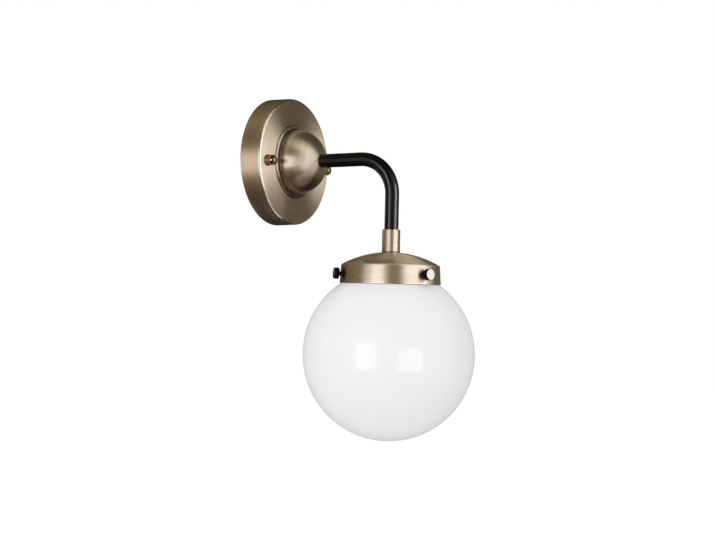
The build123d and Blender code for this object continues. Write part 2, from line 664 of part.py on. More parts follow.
def globe():
    """Blown globe: a ball with a short neck and a rounded lip."""
    inner_r = GLOBE_R - GLOBE_WALL
    bore_r = NECK_R - GLOBE_WALL
    neck_foot = globe_centre + math.sqrt(GLOBE_R ** 2 - NECK_R ** 2)
    bore_foot = globe_centre + math.sqrt(inner_r ** 2 - bore_r ** 2)
    lip_top = lip_under + LIP_THICK
    outline = make_face([
        ThreePointArc((NECK_R, neck_foot), (GLOBE_R, globe_centre), (0, globe_centre - GLOBE_R)),
        Line((0, globe_centre - GLOBE_R), (0, globe_centre - inner_r)),
        ThreePointArc((0, globe_centre - inner_r), (inner_r, globe_centre), (bore_r, bore_foot)),
        Line((bore_r, bore_foot), (bore_r, lip_top)), Line((bore_r, lip_top), (LIP_R, lip_top)),
        Line((LIP_R, lip_top), (LIP_R, lip_under)), Line((LIP_R, lip_under), (NECK_R, lip_under)),
        Line((NECK_R, lip_under), (NECK_R, neck_foot)),
    ])
    lip_corners = [outline.vertices().sort_by_distance((LIP_R, z, 0))[0] for z in (lip_top, lip_under)]
    outline = fillet(lip_corners, LIP_ROUND)
    return ON_DROP * revolve(Plane.XZ * outline, Axis.Z)


def holder_cap():
    """Upper half of the lampholder, screwed on the threaded tube."""
    bore_r = nipple_r + THREAD_GAP
    inner_r = HOLDER_R - HOLDER_WALL
    flare = HOLDER_R - HOLDER_COLLAR_R
    flare_top = lamp_nipple_foot + HOLDER_WALL
    cap = turned(
        (bore_r, holder_top), (HOLDER_COLLAR_R, holder_top, HOLDER_EDGE_ROUND),
        (HOLDER_COLLAR_R, flare_top), (HOLDER_R, flare_top - flare),
        (HOLDER_R, holder_joint), (inner_r, holder_joint), (inner_r, lamp_nipple_foot - flare),
        (HOLDER_COLLAR_R - HOLDER_WALL / 2, lamp_nipple_foot), (bore_r, lamp_nipple_foot),
    )
    return ON_DROP * cap


def holder_body():
    """Lower half of the lampholder, with the bore that holds the screw shell."""
    inner_r = HOLDER_R - HOLDER_WALL
    shell_bore_r = SHELL_R + THREAD_GAP
    body = turned(
        (inner_r, holder_joint), (HOLDER_R, holder_joint), (HOLDER_R, holder_foot, HOLDER_WALL),
        (shell_bore_r + HOLDER_WALL, holder_foot), (shell_bore_r, holder_foot + HOLDER_WALL),
        (shell_bore_r, insert_foot), (inner_r, insert_foot),
    )
    return ON_DROP * body


def holder_insert():
    """Ceramic disc that carries the contacts."""
    disc = rod(HOLDER_R - HOLDER_WALL - THREAD_GAP, insert_foot, insert_top)
    for x in post_places:
        disc -= Pos(x, 0, 0) * rod(POST_STEM_R + THREAD_GAP, insert_foot, insert_top)
    return ON_DROP * disc


def holder_shell():
    """Screw shell that the bulb's cap turns into."""
    return ON_DROP * ring(SHELL_R, SHELL_R - SHELL_SHEET, insert_foot - SHELL_LENGTH, insert_foot)


def post_screw_place(x):
    """Middle of the post at this x, with Z pointing out along its clamping screw."""
    return Pos(0, 0, insert_top + POST_LENGTH / 2) * Rot(0, math.copysign(90, x), 0)


def contact_posts():
    """Two brass posts that take the wire ends and pass through the ceramic disc."""
    post = rod(POST_R, insert_top, post_top) + rod(POST_STEM_R, insert_foot, insert_top)
    post -= rod(CORE_R + THREAD_GAP, insert_top + THREAD_GAP, post_top)
    screw_hole = rod(CONTACT_SCREW_R + THREAD_GAP, 0, 2 * POST_R)
    posts = []
    for x in post_places:
        tapped = post - post_screw_place(x) * screw_hole
        posts.append(ON_DROP * Pos(x, 0, 0) * tapped)
    return Compound(posts)


def contact_screws():
    """Two screws that clamp the wires in the posts."""
    head_foot = POST_R + SLIP_GAP
    head_top = CORE_R + THREAD_GAP + CONTACT_SCREW_LENGTH
    screw = rod(CONTACT_SCREW_R, CORE_R + THREAD_GAP, head_foot)
    screw += slotted_head(CONTACT_SCREW_HEAD_R, head_foot, head_top)
    screws = [ON_DROP * Pos(x, 0, 0) * post_screw_place(x) * screw for x in post_places]
    return Compound(screws)


def holder_contacts():
    """Two sprung strips: one to the bulb's middle contact and one to the screw shell."""
    left, right = post_places
    low = contact_face
    middle_length = CONTACT_DOME_R - left
    middle = Pos(left + middle_length / 2, 0, low + CONTACT_SHEET / 2) * Box(
        middle_length, CONTACT_WIDTH, CONTACT_SHEET
    )
    middle += rod(CONTACT_DOME_R, bulb_top + THREAD_GAP, low)
    shell_r = SHELL_R - SHELL_SHEET - SLIP_GAP
    side_start = right - POST_STEM_R
    side_end = math.sqrt(shell_r ** 2 - (CONTACT_WIDTH / 2) ** 2)
    side = Pos((side_start + side_end) / 2, 0, low + CONTACT_SHEET / 2) * Box(
        side_end - side_start, CONTACT_WIDTH, CONTACT_SHEET
    )
    return Compound([ON_DROP * middle, ON_DROP * side])


def bulb_contact():
    """Solder pip at the bulb's end."""
    pip = turned(
        (0, bulb_insulator_top), (BULB_PIP_R, bulb_insulator_top),
        (BULB_PIP_R, bulb_top, BULB_PIP_ROUND), (0, bulb_top),
    )
    return ON_DROP * pip


def bulb_insulator():
    """Black glass cone between the pip and the bulb's cap."""
    cone = turned(
        (0, bulb_cap_top), (BULB_CAP_R - BULB_CAP_SHEET, bulb_cap_top),
        (BULB_PIP_R + BULB_CAP_SHEET, bulb_insulator_top), (0, bulb_insulator_top),
    )
    return ON_DROP * cone


def bulb_cap():
    """Metal screw cap of the bulb."""
    return ON_DROP * ring(BULB_CAP_R, BULB_CAP_R - BULB_CAP_SHEET, bulb_cap_foot, bulb_cap_top)


def bulb_outline(inset):
    """Half outline of the bulb's glass from its lowest point up to its neck, moved in by this much."""
    neck_r = BULB_CAP_R - BULB_CAP_SHEET - THREAD_GAP - inset
    ball = CenterArc((0, bulb_centre), BULB_R - inset, -90, 90)
    shoulder_middle = (BULB_R - bulb_shoulder_r, bulb_centre)
    shoulder_arc = CenterArc(shoulder_middle, bulb_shoulder_r - inset, 0, BULB_SHOULDER_ANGLE)
    shoulder_line = Line(shoulder_arc @ 1, (neck_r, bulb_neck_foot))
    neck = Line((neck_r, bulb_neck_foot), (neck_r, bulb_cap_foot + BULB_NECK_IN_CAP))
    return [ball, shoulder_arc, shoulder_line, neck]


def bulb_envelope():
    """Thin frosted glass of the bulb."""
    outer = bulb_outline(0)
    inner = bulb_outline(BULB_GLASS)
    ends = [Line(outer[0] @ 0, inner[0] @ 0), Line(outer[-1] @ 1, inner[-1] @ 1)]
    return ON_DROP * turned_outline(*outer, *inner, *ends)


pieces = {
    "wall_bracket": wall_bracket(),
    "plate_studs": plate_studs(),
    "stud_lock_nuts": stud_lock_nuts(),
    "terminal_block": terminal_block(),
    "terminal_sleeves": terminal_sleeves(),
    "terminal_screws": terminal_screws(),
    "block_screw": block_screw(),
    "earth_screw": earth_screw(),
    "earth_washer": earth_washer(),
    "wall_plate": wall_plate(),
    "dome_cover": dome_cover(),
    "arm_tube": arm_tube(),
    "arm_nipple": arm_nipple(),
    "arm_washer": arm_washer(),
    "arm_nut": arm_nut(),
    "nipple_bush": nipple_bush(),
    "live_wire": lamp_wire(-1),
    "neutral_wire": lamp_wire(1),
    "stripped_wire_ends": stripped_wire_ends(),
    "collar": collar(),
    "lamp_nipple": lamp_nipple(),
    "gallery": gallery(),
    "gallery_washer": gallery_washer(),
    "gallery_nut": gallery_nut(),
    "screw_bushes": screw_bushes(),
    "globe": globe(),
    "holder_cap": holder_cap(),
    "holder_body": holder_body(),
    "holder_insert": holder_insert(),
    "holder_shell": holder_shell(),
    "contact_posts": contact_posts(),
    "contact_screws": contact_screws(),
    "holder_contacts": holder_contacts(),
    "bulb_contact": bulb_contact(),
    "bulb_insulator": bulb_insulator(),
    "bulb_cap": bulb_cap(),
    "bulb_envelope": bulb_envelope(),
}
for side in fixing_places:
    pieces["nut_washer_" + side] = nut_washer(side)
    pieces["ball_nut_" + side] = ball_nut(side)
for name in SCREW_ANGLES:
    pieces["screw_tip_" + name] = screw_tip(name)
    pieces["thumb_screw_" + name] = thumb_screw(name)

os.makedirs("parts", exist_ok=True)
for node, piece in pieces.items():
    export_step(piece, "parts/" + node + ".step")
print("wrote", len(pieces), "pieces")
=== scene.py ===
# %% [markdown]
# # Dressing a wall lamp
# The lamp is a round spun brass plate with a domed boss, a bent black arm, and a brass gallery that carries
# an opal glass globe on three thumb screws. Its shapes could be modelled here from turned outlines, but
# they already exist as solids that were drawn in CAD, with the right sizes and joints. So this lesson only
# gives them their finishes, their light and a camera. A node of the CAD model is never moved here: it gets
# a material, and it already rides on the body that moves it.

# %% Load the solids
import json
import math
from collections import namedtuple

import bpy
from mathutils import Matrix, Vector

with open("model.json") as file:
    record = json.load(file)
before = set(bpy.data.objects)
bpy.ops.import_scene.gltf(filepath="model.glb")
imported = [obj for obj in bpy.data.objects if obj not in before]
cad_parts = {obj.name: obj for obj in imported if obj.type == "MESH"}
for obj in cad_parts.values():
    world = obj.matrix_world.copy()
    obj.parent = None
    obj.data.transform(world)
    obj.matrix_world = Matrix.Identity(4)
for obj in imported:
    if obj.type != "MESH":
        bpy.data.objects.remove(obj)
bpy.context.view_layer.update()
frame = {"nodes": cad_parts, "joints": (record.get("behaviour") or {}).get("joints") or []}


nodes = frame["nodes"]
scene = bpy.context.scene
scene.view_settings.view_transform = "Standard"

# %% [markdown]
# ## The camera
# The picture was taken from the lamp's left, slightly below its middle, from about a metre away. A camera
# could be pushed about by hand until the outlines meet. But the plate's ellipse, the arm and the globe's
# circle together fix the direction, the distance and the lens, so the camera is set from those numbers: an
# azimuth and an elevation, a small roll, and a place in metres.

# %% Set the camera
CAMERA_PLACE = Vector((-0.925724, -0.623535, -0.12213))
CAMERA_AZIMUTH = math.radians(-60.013)
CAMERA_ELEVATION = math.radians(-1.266)
CAMERA_ROLL = math.radians(1.313)
SENSOR_WIDTH_MM = 36.0
LENS_MM = 60.547


def direction(azimuth, elevation):
    """The way to something: azimuth 0 is straight out from the wall, and elevation 0 is level."""
    flat = math.cos(elevation)
    return Vector((math.sin(azimuth) * flat, -math.cos(azimuth) * flat, math.sin(elevation)))


def middle_of(name):
    """The middle of a CAD node's box, in metres."""
    corners = [Vector(corner) for corner in nodes[name].bound_box]
    return sum(corners, Vector()) / len(corners)


back = direction(CAMERA_AZIMUTH, CAMERA_ELEVATION)
right = (-back).cross(Vector((0, 0, 1))).normalized()
up = right.cross(-back)
rolled_right = right * math.cos(CAMERA_ROLL) + up * math.sin(CAMERA_ROLL)
rolled_up = up * math.cos(CAMERA_ROLL) - right * math.sin(CAMERA_ROLL)
camera_turn = Matrix((rolled_right, rolled_up, back)).transposed().to_4x4()
camera_data = bpy.data.cameras.new("camera")
camera_data.sensor_width = SENSOR_WIDTH_MM
camera_data.lens = LENS_MM
camera = bpy.data.objects.new("camera", camera_data)
camera.matrix_world = Matrix.Translation(CAMERA_PLACE) @ camera_turn
scene.collection.objects.link(camera)
scene.camera = camera
print("camera is", round((CAMERA_PLACE - middle_of("globe")).length, 3), "m from the globe")

# %% [markdown]
# ## Helpers for node trees
# Every finish below is a small node tree round one Principled shader. Such a tree could be drawn by hand in
# the shader editor. Here it is written as code, so that each number stands in one place. The first helper
# adds a node and sets its options and inputs. The others are the kinds of node that nearly every finish
# needs: arithmetic, a change of range, a mix and a noise.

# %% Node helpers
# The Mix node has a pair of inputs for each kind of data, so these are reached by their numbers.
FIRST_VALUE, SECOND_VALUE, MIXED_VALUE = 2, 3, 0
FIRST_COLOUR, SECOND_COLOUR, MIXED_COLOUR = 6, 7, 2


def add_node(tree, kind, inputs=None, **options):
    """Adds a node, sets its options, then its inputs: a socket is linked, the rest are plain values."""
    node = tree.nodes.new(kind)
    for name, value in options.items():
        setattr(node, name, value)
    for name, value in (inputs or {}).items():
        if isinstance(value, bpy.types.NodeSocket):
            tree.links.new(value, node.inputs[name])
        else:
            node.inputs[name].default_value = value
    return node


def reckon(tree, operation, first, second):
    """One step of arithmetic with two values."""
    return add_node(tree, "ShaderNodeMath", {0: first, 1: second}, operation=operation).outputs["Value"]


def spread(tree, value, low=0.0, high=1.0, start=0.0, end=1.0, smooth=False):
    """A value that runs from start to end, mapped onto low to high."""
    limits = {"Value": value, "From Min": start, "From Max": end, "To Min": low, "To Max": high}
    curve = "SMOOTHSTEP" if smooth else "LINEAR"
    return add_node(tree, "ShaderNodeMapRange", limits, interpolation_type=curve).outputs["Result"]


def mix_values(tree, share, first, second):
    """The value at a share of the way from the first to the second."""
    pair = {"Factor": share, FIRST_VALUE: first, SECOND_VALUE: second}
    return add_node(tree, "ShaderNodeMix", pair).outputs[MIXED_VALUE]


def mix_colours(tree, share, first, second):
    """The colour at a share of the way from the first to the second."""
    pair = {"Factor": share, FIRST_COLOUR: first, SECOND_COLOUR: second}
    return add_node(tree, "ShaderNodeMix", pair, data_type="RGBA").outputs[MIXED_COLOUR]


def noise(tree, place, scale, detail):
    """A cloudy value from 0 to 1."""
    settings = {"Vector": place, "Scale": scale, "Detail": detail}
    return add_node(tree, "ShaderNodeTexNoise", settings).outputs["Fac"]


def object_place(tree):
    """The place of a surface point in the lamp's own frame, in metres."""
    return add_node(tree, "ShaderNodeTexCoord").outputs["Object"]


print("node helpers ready")

# %% [markdown]
# ## Helpers for finishes
# A finish is a material: it starts as a plain Principled shader, gets what changes over its surface from
# the nodes, and goes on one or more pieces of the lamp. A value that is the same all over a surface could
# come through a node as well, but it is set on the shader's own socket, where it is easy to find and to
# export.


# %% Finish helpers
def socket_name(word):
    """The shader's name of a socket: base_color gives Base Color, and ior gives IOR."""
    return word.replace("_", " ").title().replace("Ior", "IOR")


def new_finish(name, **plain_values):
    """A material with a Principled shader, whose plain sockets are set from the keywords."""
    material = bpy.data.materials.new(name)
    material.use_nodes = True
    shader = material.node_tree.nodes["Principled BSDF"]
    for word, value in plain_values.items():
        shader.inputs[socket_name(word)].default_value = value
    return material.node_tree, shader, material


def feed(tree, shader, **sockets):
    """Links what the nodes give to the shader's sockets."""
    for word, socket in sockets.items():
        tree.links.new(socket, shader.inputs[socket_name(word)])


def dress(material, *names):
    """Gives the named CAD nodes this material."""
    for name in names:
        data = nodes[name].data
        data.materials.clear()
        data.materials.append(material)
    print(material.name, "on", ", ".join(names))


print("finish helpers ready")

# %% [markdown]
# ## White surroundings
# The lamp hangs in a white studio. A white background could be had with stronger lamps, but they would
# bleach the brass and the globe. Instead the world has two strengths: it is white to the eye, also where a
# mirror or clear glass sends the look on, and a little weaker as a source of light. The Light Path node
# tells the two kinds of ray apart.


# %% White world
def seen_by_eye(tree):
    """1 for rays from the camera and those that a mirror or clear glass sends on, 0 for light rays."""
    path = add_node(tree, "ShaderNodeLightPath").outputs
    seen = path["Is Camera Ray"]
    for ray in ("Is Glossy Ray", "Is Transmission Ray"):
        seen = reckon(tree, "MAXIMUM", seen, path[ray])
    return seen


AMBIENT = 0.87
world = bpy.data.worlds.new("white studio")
world.use_nodes = True
scene.world = world
background = world.node_tree.nodes["Background"]
background.inputs["Color"].default_value = (1.0, 1.0, 1.0, 1.0)
strength = spread(world.node_tree, seen_by_eye(world.node_tree), AMBIENT, 1.0)
world.node_tree.links.new(strength, background.inputs["Strength"])
print("world: white to the eye,", AMBIENT, "as light")

# %% [markdown]
# ## Dark curtains
# Metal shows what stands round it, so a satin brass lamp in an all white room would look flat. A
# photographer hangs dark cloth round the set. Panels could be placed one by one, but a single sphere is
# simpler, because every direction then has its own spot on it. Only glossy rays see this sphere, and it
# shades nothing.

# %% Hang the curtains
SET_CENTRE = Vector((0.0, -0.10, -0.10))
CURTAIN_R = 1.40
bpy.ops.mesh.primitive_uv_sphere_add(segments=96, ring_count=48, radius=CURTAIN_R, location=SET_CENTRE)
curtain = bpy.context.object
curtain.name = "curtain"
for polygon in curtain.data.polygons:
    polygon.use_smooth = True
curtain.visible_camera = False
curtain.visible_diffuse = False
curtain.visible_shadow = False
curtain.visible_transmission = False
print("curtain with", len(curtain.data.polygons), "faces")

# %% [markdown]
# ## Windows in the curtains
# Two openings in the cloth, one at the left and one in front of the plate, give the brass two bright bands
# between dark flanks. They could be cut out of the mesh, but then their edges would be hard. Here a ramp
# round the set and a ramp up the set are multiplied, which makes a mask with edges as soft as wanted. Round
# the set, degrees count to the right of the camera.

# %% Open the windows
curtain_finish = bpy.data.materials.new("curtain")
curtain_finish.use_nodes = True
curtain_tree = curtain_finish.node_tree
curtain_tree.nodes.clear()
spot = object_place(curtain_tree)
facing_camera = add_node(
    curtain_tree, "ShaderNodeMapping",
    {"Vector": spot, "Rotation": (0, 0, math.radians(90) - CAMERA_AZIMUTH)},
).outputs["Vector"]
around = add_node(
    curtain_tree, "ShaderNodeTexGradient", {"Vector": facing_camera}, gradient_type="RADIAL"
).outputs["Fac"]
height = add_node(curtain_tree, "ShaderNodeSeparateXYZ", {"Vector": spot}).outputs["Z"]
height_share = spread(curtain_tree, height, start=-CURTAIN_R, end=CURTAIN_R)


def ramp_of(value, stops):
    """A smooth ramp over the curtain, from pairs of position and level."""
    ramp = add_node(curtain_tree, "ShaderNodeValToRGB", {"Fac": value})
    ramp.color_ramp.interpolation = "EASE"
    while len(ramp.color_ramp.elements) < len(stops):
        ramp.color_ramp.elements.new(0.5)
    for element, (position, tone) in zip(ramp.color_ramp.elements, stops):
        element.position = position
        element.color = (tone, tone, tone, 1)
    return ramp.outputs["Color"]


def around_set(*pairs):
    """Levels at degrees to the right of the camera, which is at the middle of the ramp."""
    return ramp_of(around, [(0.5 + degrees / 360, tone) for degrees, tone in pairs])


def up_set(*pairs):
    """Levels at degrees above the horizon, which is at the middle of the ramp."""
    return ramp_of(
        height_share, [(0.5 + 0.5 * math.sin(math.radians(degrees)), tone) for degrees, tone in pairs]
    )


def window(azimuths, elevations):
    """An opening with soft edges: where it starts, is open, stops being open and ends, in degrees."""
    shares = (0.0, 1.0, 1.0, 0.0)
    sideways = around_set(*zip(azimuths, shares))
    return reckon(curtain_tree, "MULTIPLY", sideways, up_set(*zip(elevations, shares)))


left_window = window(azimuths=(-73, -51, -20, 2), elevations=(-27, -10, 8, 27))
front_window = window(azimuths=(16, 40, 82, 102), elevations=(-40, -14, 36, 60))
windows = reckon(curtain_tree, "ADD", left_window, front_window)
print("windows at the left and in front of the plate")

# %% [markdown]
# ## Cloth of the curtains
# The cloth is dark and warm, and it isn't even: it is palest beside the windows, fades towards floor and
# ceiling, and has one paler patch high up behind the lamp, as from light that bounces off a ceiling. Lamps
# could light a real cloth, but an emission shader gives each direction exactly the level that the shaded
# brass should show. In the windows a see-through shader takes over, so the metal shows the white world
# there.

# %% Colour the cloth
BOUNCE_TURN = math.radians(-130)
BOUNCE_RISE = math.radians(56)
BOUNCE_LEVEL = 0.09
BOUNCE_EDGE, BOUNCE_CORE = 0.78, 0.97  # cosines of the angle from the middle of the patch
COPPER_CLOTH = (1.0, 0.74, 0.49, 1)
GOLD_CLOTH = (1.0, 0.86, 0.50, 1)
PALE_CLOTH = (1.0, 0.88, 0.70, 1)

bounce = direction(CAMERA_AZIMUTH + BOUNCE_TURN, BOUNCE_RISE)
towards_bounce = add_node(
    curtain_tree, "ShaderNodeVectorMath", {0: spot, 1: bounce / CURTAIN_R}, operation="DOT_PRODUCT"
).outputs["Value"]
bounced = spread(
    curtain_tree, towards_bounce, high=BOUNCE_LEVEL, start=BOUNCE_EDGE, end=BOUNCE_CORE, smooth=True
)
cloth_around = around_set(
    (-180, 0.03), (-140, 0.08), (-110, 0.15), (-80, 0.21), (-55, 0.25), (0, 0.20),
    (30, 0.22), (85, 0.17), (120, 0.13), (160, 0.11), (180, 0.03),
)
cloth_up = up_set((-70, 0.10), (-40, 0.3), (-15, 1.0), (12, 1.0), (32, 0.6), (48, 0.45), (75, 0.40))
cloth_level = reckon(curtain_tree, "ADD", reckon(curtain_tree, "MULTIPLY", cloth_around, cloth_up), bounced)
warm_cloth = mix_colours(curtain_tree, up_set((-20, 0.0), (25, 1.0)), COPPER_CLOTH, GOLD_CLOTH)
pale_share = around_set((30, 0.0), (80, 0.9), (150, 0.9), (178, 0.0))
cloth_colour = mix_colours(curtain_tree, pale_share, warm_cloth, PALE_CLOTH)
dark_cloth = add_node(
    curtain_tree, "ShaderNodeEmission", {"Color": cloth_colour, "Strength": cloth_level}
).outputs["Emission"]
clear = add_node(curtain_tree, "ShaderNodeBsdfTransparent").outputs["BSDF"]
cloth = add_node(curtain_tree, "ShaderNodeMixShader", {0: windows, 1: dark_cloth, 2: clear}).outputs["Shader"]
add_node(curtain_tree, "ShaderNodeOutputMaterial", {"Surface": cloth})
# The cloth is only mirrored, so it isn't one of the lamps that light the set.
curtain_finish.cycles.emission_sampling = "NONE"
curtain.data.materials.append(curtain_finish)
print("cloth with", len(curtain_tree.nodes), "nodes")

# %% [markdown]
# ## Softboxes for the globe and the arm
# A photographer shapes highlights with softboxes, lamps with a broad white front. One set of boxes for the
# whole lamp could be tried, but a box that suits the globe puts its highlight in the wrong place on the
# arm. So each box is an area lamp that is linked to the few pieces that should mirror it, and it adds
# nothing to their matt side. The globe shows two squarish boxes, and the arm two thin lines from tall ones.

# %% Boxes for glass and paint
SOFTBOX_DISTANCE = 1.25


def hang_lamp(name, turn, rise, distance, power):
    """An area lamp that faces the set, placed by degrees right of the camera and above the horizon."""
    out = direction(CAMERA_AZIMUTH + math.radians(turn), math.radians(rise))
    lamp = bpy.data.objects.new(name, bpy.data.lights.new(name, "AREA"))
    lamp.data.energy = power
    lamp.location = SET_CENTRE + out * distance
    lamp.rotation_euler = out.to_track_quat("Z", "Y").to_euler()
    lamp.visible_camera = False
    scene.collection.objects.link(lamp)
    print(name, "at", [round(v, 2) for v in lamp.location])
    return lamp


def softbox(name, pieces, turn, rise, size, power, tint=(1, 1, 1), distance=SOFTBOX_DISTANCE):
    """A lamp that only the given pieces mirror. Its size is a width and a height in metres."""
    box = hang_lamp(name, turn, rise, distance, power)
    box.data.shape = "RECTANGLE"
    box.data.size, box.data.size_y = size
    box.data.color = tint
    box.visible_diffuse = False
    receivers = bpy.data.collections.new(name + " receivers")
    for piece in pieces:
        receivers.objects.link(nodes[piece])
    box.light_linking.receiver_collection = receivers
    return box


softbox("left softbox", ["globe"], turn=-29.5, rise=-3.8, size=(0.60, 0.76), power=6.5)
softbox("front softbox", ["globe"], turn=27.5, rise=-7.0, size=(0.69, 0.63), power=6.6)
softbox("left strip", ["arm_tube"], turn=-43, rise=0, size=(0.34, 1.20), power=9.0)
softbox("right strip", ["arm_tube"], turn=66, rise=0, size=(0.64, 1.20), power=24.0)

# %% [markdown]
# ## Softboxes for the brass
# The brass is satin, so a box shows in it as a broad sheen and not as a clear shape. The plate, the dome,
# the collar and the gallery face different ways, and each gets the boxes that suit it: from the left for
# its bright band, from above for its top, and from the front for the flank that turns away. All of them
# could be white, but a little yellow in some gives the brass its warm top and edges.

# %% Boxes for the brass
BALL_NUTS = ["ball_nut_left", "ball_nut_right"]
SKY_TINT = (1.0, 0.95, 0.70)
GALLERY_SKY_TINT = (1.0, 0.93, 0.70)
EDGE_TINT = (1.0, 0.93, 0.83)
GALLERY_BACK_TINT = (1.0, 0.92, 0.60)

softbox("left brass box", ["dome_cover", "gallery"], turn=-30, rise=-2, size=(0.62, 0.80), power=1.2)
softbox("collar box", ["collar"], turn=-32, rise=0, size=(0.30, 0.80), power=0.35)
softbox(
    "sky box", ["dome_cover", "wall_plate"], turn=25, rise=60, size=(1.00, 0.70), power=1.0, tint=SKY_TINT
)
softbox("gallery sky", ["gallery"], turn=8, rise=64, size=(1.50, 0.90), power=2.4, tint=GALLERY_SKY_TINT)
softbox("rim box", ["wall_plate"], turn=-58, rise=1, size=(0.50, 0.52), power=0.17, tint=EDGE_TINT)
softbox("edge box", ["wall_plate"], turn=9, rise=-11, size=(0.40, 1.50), power=1.2, tint=EDGE_TINT)
softbox("nut box", BALL_NUTS, turn=-30, rise=0, size=(0.40, 0.50), power=3.0)
softbox("front brass box", ["gallery", "collar"], turn=56, rise=8, size=(1.10, 1.50), power=1.1)
softbox("gallery side box", ["gallery"], turn=93, rise=6, size=(0.74, 1.40), power=1.0)
softbox(
    "gallery back box", ["gallery"], turn=158, rise=48, size=(0.60, 0.45), power=0.45, tint=GALLERY_BACK_TINT
)
softbox("plate box", ["wall_plate"], turn=62, rise=5, size=(1.10, 1.30), power=3.9)

# %% [markdown]
# ## Light behind the plate
# The bracket, the terminal block and the wires sit in the hollow of the plate, which shades them. The whole
# studio could be made brighter, but that would change the front. So one more box stands low and close
# behind the lamp. It is linked to these pieces alone, and it lights their matt side as well.

# %% Box behind the plate
BEHIND_THE_PLATE = [
    "wall_bracket", "plate_studs", "stud_lock_nuts", "terminal_block", "terminal_sleeves", "terminal_screws",
    "block_screw", "earth_screw", "earth_washer", "arm_nut", "arm_washer", "nipple_bush", "live_wire",
    "neutral_wire", "stripped_wire_ends",
]
back_box = softbox(
    "back box", BEHIND_THE_PLATE, turn=-120, rise=-5, size=(1.40, 0.50), power=1.8, distance=0.60
)
back_box.visible_diffuse = True
print("back box lights", len(BEHIND_THE_PLATE), "pieces")

# %% [markdown]
# ## Key light
# The white world lights the lamp from all sides, which alone would leave the globe as flat as a disc. A
# small hard lamp would shape it, but with sharp shadows. One large lamp at the lamp's own height, a little
# to the left of the camera, brightens the middle of the globe and lets its edges fall off softly. Mirrors
# don't show it, because the softboxes already make the highlights.

# %% Hang the key light
key_light = hang_lamp("key light", turn=-16, rise=0, distance=1.7, power=5.6)
key_light.data.size = 1.4
key_light.visible_glossy = False

# %% [markdown]
# ## The floor
# A wall lamp hangs well above the floor, so the floor is far down and the shadow on it is faint and wide. A
# curved backdrop could stand behind the lamp, but the world is white already, and a wide plane is enough.
# It is matt and pale, and to the eye it also glows a little, so that where no shadow falls it is white.

# %% Pale floor
FLOOR_HEIGHT = -1.55
FLOOR_GLOW_AS_LIGHT = 0.07
FLOOR_GLOW_TO_EYE = 0.34
bpy.ops.mesh.primitive_plane_add(size=40, location=(0, 0, FLOOR_HEIGHT))
floor = bpy.context.object
floor.name = "floor"
floor_tree, floor_shader, floor_finish = new_finish(
    "pale floor", base_color=(0.8, 0.8, 0.8, 1), roughness=0.9, specular_ior_level=0.0,
    emission_color=(1, 1, 1, 1),
)
floor_glow = spread(floor_tree, seen_by_eye(floor_tree), FLOOR_GLOW_AS_LIGHT, FLOOR_GLOW_TO_EYE)
feed(floor_tree, floor_shader, emission_strength=floor_glow)
floor.data.materials.append(floor_finish)
print("floor at", FLOOR_HEIGHT, "m")

# %% [markdown]
# ## Lines of the spinning lathe
# The plate, the dome, the collar and the gallery are spun on a lathe: a tool presses a sheet over a form
# while it turns, then an abrasive pad leaves fine lines that run round the axis. The lines could be cut
# into the mesh, but it would need millions of faces. Several finishes need them, so they are a node group
# that is built once: a noise that changes fast with radius and height, and slowly round the axis.

# %% Spun line group
VECTOR, VALUE, COLOUR = "NodeSocketVector", "NodeSocketFloat", "NodeSocketColor"
BAND_DETAIL = 3.0
HAIRLINE_DETAIL = 2.0


def new_group(name, inputs, outputs):
    """A node group with named sockets, and the sockets that it is given."""
    group = bpy.data.node_groups.new(name, "ShaderNodeTree")
    for side, sockets in (("INPUT", inputs), ("OUTPUT", outputs)):
        for socket, kind in sockets.items():
            group.interface.new_socket(socket, in_out=side, socket_type=kind)
    return group, add_node(group, "NodeGroupInput").outputs


def place_group(tree, group, inputs):
    """Puts a group into a material with its own values, and hands back what it gives."""
    return add_node(tree, "ShaderNodeGroup", inputs, node_tree=group).outputs


def round_axis(group, place):
    """Splits a place whose turning axis is Z into a flat part, a radius and a height."""
    parts = add_node(group, "ShaderNodeSeparateXYZ", {"Vector": place}).outputs
    flat = add_node(group, "ShaderNodeCombineXYZ", {"X": parts["X"], "Y": parts["Y"]}).outputs["Vector"]
    radius = add_node(group, "ShaderNodeVectorMath", {0: flat}, operation="LENGTH").outputs["Value"]
    return flat, radius, parts["Z"]


def spun_lines_group():
    """Node group: broad bands and fine hairlines round the Z axis, both 0 to 1, and the radius."""
    group, given = new_group(
        "spun lines",
        {"Place": VECTOR, "Bands per metre": VALUE, "Hairlines per metre": VALUE, "Length": VALUE},
        {"Bands": VALUE, "Hairlines": VALUE, "Radius": VALUE},
    )
    flat, radius, height = round_axis(group, given["Place"])
    results = add_node(group, "NodeGroupOutput", {"Radius": radius})
    heading = add_node(group, "ShaderNodeVectorMath", {0: flat}, operation="NORMALIZE").outputs["Vector"]
    turned = add_node(
        group, "ShaderNodeVectorMath", {0: heading, "Scale": given["Length"]}, operation="SCALE"
    ).outputs["Vector"]
    for name, detail in (("Bands", BAND_DETAIL), ("Hairlines", HAIRLINE_DETAIL)):
        density = given[name + " per metre"]
        rise = reckon(group, "MULTIPLY", height, density)
        lifted = add_node(group, "ShaderNodeCombineXYZ", {"Z": rise}).outputs["Vector"]
        point = add_node(group, "ShaderNodeVectorMath", {0: turned, 1: lifted}, operation="ADD")
        lines = add_node(
            group, "ShaderNodeTexNoise",
            {"Vector": point.outputs["Vector"], "W": reckon(group, "MULTIPLY", radius, density),
             "Scale": 1.0, "Detail": detail},
            noise_dimensions="4D",
        )
        group.links.new(lines.outputs["Fac"], results.inputs[name])
    return group


spun_lines = spun_lines_group()
print("group:", spun_lines.name)

